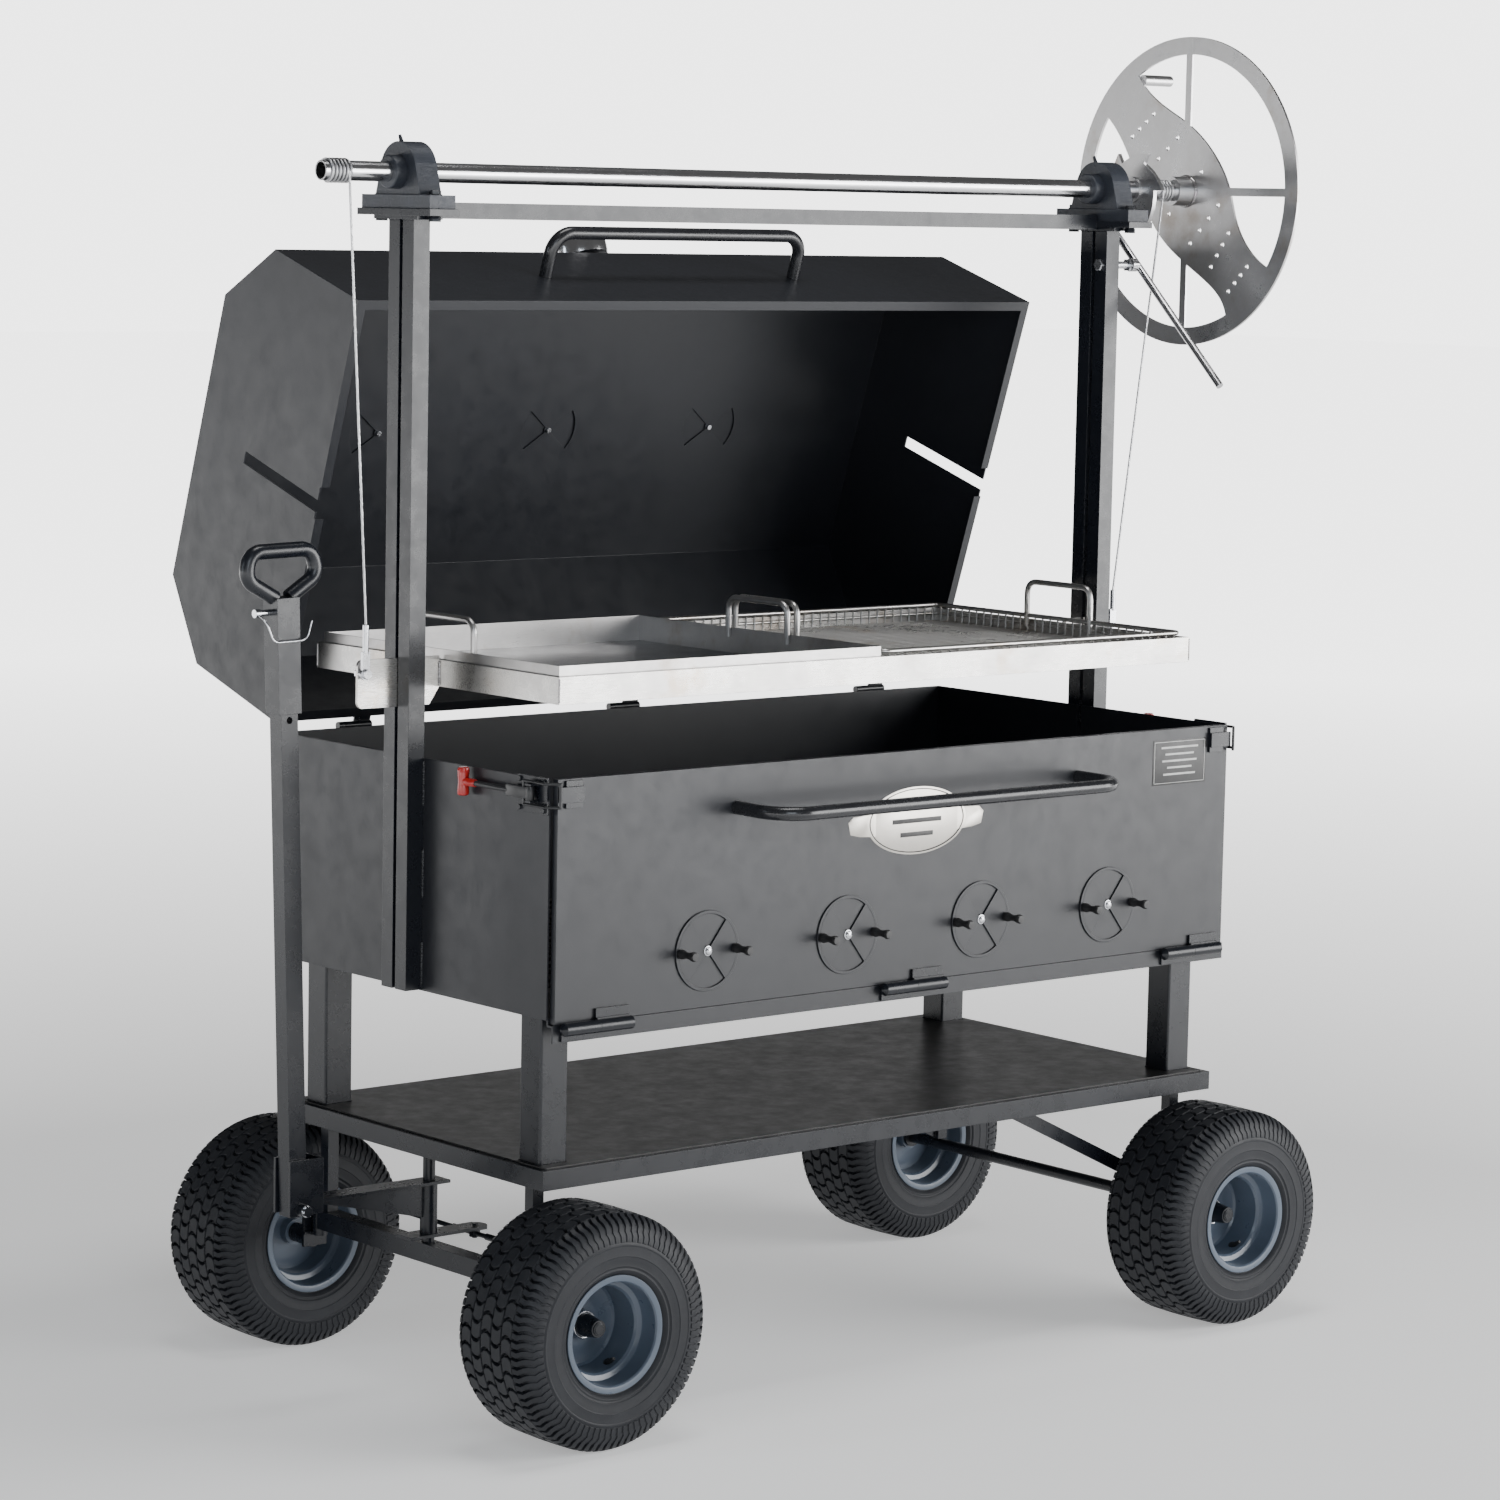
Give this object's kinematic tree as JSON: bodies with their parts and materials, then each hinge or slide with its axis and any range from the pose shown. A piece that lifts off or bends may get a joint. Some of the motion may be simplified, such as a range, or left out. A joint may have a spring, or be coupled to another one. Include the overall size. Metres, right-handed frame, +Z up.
{
  "type": "charcoal grill wagon",
  "caption": "Charcoal grill on a steerable four-wheel wagon, with a hinged lid, drop-down door and a hand wheel that raises the cooking grate on cables.",
  "frame": {"origin": "on the floor, under the centre of the wagon's shelf frame", "axes": "+Z up, +Y towards the back (the door faces -Y), +X towards the end with the hand wheel"},
  "size_m": [2.5584, 1.4533, 2.7094],
  "materials": {
    "frame_paint": "satin dark charcoal high-heat paint",
    "body_paint": "satin black high-heat paint",
    "shelf_sheet": "satin dark sheet",
    "coal_iron": "dark heat-marked iron",
    "cast_housing": "rough painted casting",
    "zinc": "bright zinc plate",
    "stainless": "mill-finish stainless",
    "shaft_steel": "polished pipe",
    "wheel_steel": "cloudy brushed laser-cut plate",
    "wire_rope": "galvanised wire rope",
    "handle_steel": "gloss black tube",
    "badge_metal": "satin silver plate",
    "latch_steel": "black lever with a red grip",
    "dial": "bright bezel",
    "tyre": "charcoal rubber",
    "rim_paint": "gloss slate blue-grey"
  },
  "bodies": {
    "wagon": {"shelf_frame": "frame_paint", "shelf_plate": "shelf_sheet", "legs": "frame_paint", "firebox_end_panels": "body_paint", "firebox_wrapper": "body_paint", "charcoal_grate": "coal_iron", "masts": "frame_paint", "mast_head": "frame_paint", "bearing_housings": "cast_housing", "frame_bolts": "zinc", "axles": "frame_paint", "axle_supports": "frame_paint", "fixed_hinge_barrels": "frame_paint", "latch_bases": "frame_paint"},
    "lid": {"lid_shell": "body_paint", "lid_handle": "handle_steel", "thermometer": "dial", "lid_hinge_leaves": "frame_paint"},
    "lid_damper_left_body": {"lid_damper_left": "body_paint"},
    "lid_damper_centre_body": {"lid_damper_centre": "body_paint"},
    "lid_damper_right_body": {"lid_damper_right": "body_paint"},
    "door": {"door_panel": "body_paint", "door_handle": "handle_steel", "door_badge": "badge_metal", "door_hinge_barrels": "frame_paint", "latch_catches": "frame_paint"},
    "winch": {"winch_shaft": "shaft_steel", "handwheel": "wheel_steel", "ratchet_wheel": "wheel_steel", "cable_wraps": "wire_rope"},
    "grate": {"grate_frame": "stainless", "grate_brackets": "stainless", "cable_ends": "zinc", "hoist_cables": "wire_rope"},
    "tray": {"griddle_tray": "stainless"},
    "basket": {"wire_basket": "stainless"},
    "pawl": {"pawl_lever": "shaft_steel"},
    "steering": {"steer_column": "frame_paint"},
    "pull_handle": {"pull_tube": "frame_paint", "pull_sleeve": "frame_paint"},
    "pin": {"hitch_pin": "zinc"},
    "knuckle_front_body": {"knuckle_front": "frame_paint"},
    "knuckle_back_body": {"knuckle_back": "frame_paint"},
    "tie": {"tie_rods": "frame_paint"},
    "door_damper_1_body": {"door_damper_1": "body_paint"},
    "door_damper_2_body": {"door_damper_2": "body_paint"},
    "door_damper_3_body": {"door_damper_3": "body_paint"},
    "door_damper_4_body": {"door_damper_4": "body_paint"},
    "latch_lever_left_body": {"latch_lever_left": "latch_steel"},
    "latch_loop_left_body": {"latch_loop_left": "latch_steel"},
    "latch_lever_right_body": {"latch_lever_right": "latch_steel"},
    "latch_loop_right_body": {"latch_loop_right": "latch_steel"},
    "wheel_front_left": {"tyre_front_left": "tyre", "rim_front_left": "rim_paint"},
    "wheel_front_right": {"tyre_front_right": "tyre", "rim_front_right": "rim_paint"},
    "wheel_back_left": {"tyre_back_left": "tyre", "rim_back_left": "rim_paint"},
    "wheel_back_right": {"tyre_back_right": "tyre", "rim_back_right": "rim_paint"}
  },
  "joints": [
    {"name": "lid_hinge", "type": "hinge", "parent": "wagon", "child": "lid", "pos_m": [0, 0.475, 1.259], "axis": [1, 0, 0], "range_deg": [0, 72]},
    {"name": "lid_damper_left_turn", "type": "hinge", "parent": "lid", "child": "lid_damper_left_body", "pos_m": [-0.45, 0.75481, 1.83464], "axis": [0, 0.9511, 0.309], "range_deg": [0, 90]},
    {"name": "lid_damper_centre_turn", "type": "hinge", "parent": "lid", "child": "lid_damper_centre_body", "pos_m": [0, 0.75481, 1.83464], "axis": [0, 0.9511, 0.309], "range_deg": [0, 90]},
    {"name": "lid_damper_right_turn", "type": "hinge", "parent": "lid", "child": "lid_damper_right_body", "pos_m": [0.45, 0.75481, 1.83464], "axis": [0, 0.9511, 0.309], "range_deg": [0, 90]},
    {"name": "door_hinge", "type": "hinge", "parent": "wagon", "child": "door", "pos_m": [0, -0.464, 0.788], "axis": [1, 0, 0], "range_deg": [0, 105]},
    {"name": "door_damper_1_turn", "type": "hinge", "parent": "door", "child": "door_damper_1_body", "pos_m": [-0.5235, -0.4512, 0.905], "axis": [0, -1, 0], "range_deg": [0, 90]},
    {"name": "door_damper_2_turn", "type": "hinge", "parent": "door", "child": "door_damper_2_body", "pos_m": [-0.1665, -0.4512, 0.905], "axis": [0, -1, 0], "range_deg": [0, 90]},
    {"name": "door_damper_3_turn", "type": "hinge", "parent": "door", "child": "door_damper_3_body", "pos_m": [0.1905, -0.4512, 0.905], "axis": [0, -1, 0], "range_deg": [0, 90]},
    {"name": "door_damper_4_turn", "type": "hinge", "parent": "door", "child": "door_damper_4_body", "pos_m": [0.5475, -0.4512, 0.905], "axis": [0, -1, 0], "range_deg": [0, 90]},
    {"name": "latch_lever_left_turn", "type": "hinge", "parent": "wagon", "child": "latch_lever_left_body", "pos_m": [-0.915, -0.4, 1.23], "axis": [0, 0, 1], "range_deg": [0, 120]},
    {"name": "latch_loop_left_turn", "type": "hinge", "parent": "latch_lever_left_body", "child": "latch_loop_left_body", "pos_m": [-0.915, -0.38, 1.23], "axis": [0, 0, 1], "range_deg": [-120, 0]},
    {"name": "latch_lever_right_turn", "type": "hinge", "parent": "wagon", "child": "latch_lever_right_body", "pos_m": [0.915, -0.4, 1.23], "axis": [0, 0, -1], "range_deg": [0, 120]},
    {"name": "latch_loop_right_turn", "type": "hinge", "parent": "latch_lever_right_body", "child": "latch_loop_right_body", "pos_m": [0.915, -0.38, 1.23], "axis": [0, 0, -1], "range_deg": [-120, 0]},
    {"name": "winch_turn", "type": "hinge", "parent": "wagon", "child": "winch", "pos_m": [0, 0, 2.3745], "axis": [-1, 0, 0], "range_deg": [-1063, 1541]},
    {"name": "grate_lift", "type": "slide", "parent": "wagon", "child": "grate", "axis": [0, 0, 1], "range_m": [-0.401, 0.581], "deforming": ["hoist_cables"]},
    {"name": "tray_lift", "type": "slide", "parent": "grate", "child": "tray", "axis": [0, 0, 1], "range_m": [0, 0.17]},
    {"name": "basket_lift", "type": "slide", "parent": "grate", "child": "basket", "axis": [0, 0, 1], "range_m": [0, 0.17]},
    {"name": "pawl_turn", "type": "hinge", "parent": "wagon", "child": "pawl", "pos_m": [1.008, -0.022, 2.213], "axis": [-1, 0, 0], "range_deg": [0, 25]},
    {"name": "steer_turn", "type": "hinge", "parent": "wagon", "child": "steering", "pos_m": [-0.845, 0, 0.36], "axis": [0, 0, 1], "range_deg": [-25, 25]},
    {"name": "handle_fold", "type": "hinge", "parent": "steering", "child": "pull_handle", "pos_m": [-1.166, 0, 0.403], "axis": [0, -1, 0], "range_deg": [0, 100]},
    {"name": "hitch_pin_pull", "type": "slide", "parent": "pull_handle", "child": "pin", "axis": [-0.9995, 0, -0.0314], "range_m": [0, 0.07]},
    {"name": "knuckle_front_turn", "type": "hinge", "parent": "wagon", "child": "knuckle_front_body", "pos_m": [-0.845, -0.37, 0.275], "axis": [0, 0, 1], "range_deg": [-25, 25]},
    {"name": "knuckle_back_turn", "type": "hinge", "parent": "wagon", "child": "knuckle_back_body", "pos_m": [-0.845, 0.37, 0.275], "axis": [0, 0, 1], "range_deg": [-25, 25]},
    {"name": "tie_rod_turn", "type": "hinge", "parent": "steering", "child": "tie", "pos_m": [-0.732, 0, 0.296], "axis": [0, 0, 1], "range_deg": [-25, 25]},
    {"name": "wheel_front_left_spin", "type": "hinge", "parent": "knuckle_front_body", "child": "wheel_front_left", "pos_m": [-0.845, -0.493, 0.2286], "axis": [0, 1, 0], "continuous": true},
    {"name": "wheel_front_right_spin", "type": "hinge", "parent": "wagon", "child": "wheel_front_right", "pos_m": [0.842, -0.493, 0.2286], "axis": [0, 1, 0], "continuous": true},
    {"name": "wheel_back_left_spin", "type": "hinge", "parent": "knuckle_back_body", "child": "wheel_back_left", "pos_m": [-0.845, 0.493, 0.2286], "axis": [0, 1, 0], "continuous": true},
    {"name": "wheel_back_right_spin", "type": "hinge", "parent": "wagon", "child": "wheel_back_right", "pos_m": [0.842, 0.493, 0.2286], "axis": [0, 1, 0], "continuous": true}
  ],
  "couplings": [
    {"joint": "latch_loop_left_turn", "follows": "latch_lever_left_turn", "ratio": -1},
    {"joint": "latch_loop_right_turn", "follows": "latch_lever_right_turn", "ratio": -1},
    {"joint": "grate_lift", "follows": "winch_turn", "m_per_rad": 0.02155},
    {"joint": "knuckle_front_turn", "follows": "steer_turn", "ratio": 1},
    {"joint": "knuckle_back_turn", "follows": "steer_turn", "ratio": 1},
    {"joint": "tie_rod_turn", "follows": "steer_turn", "ratio": -1}
  ]
}
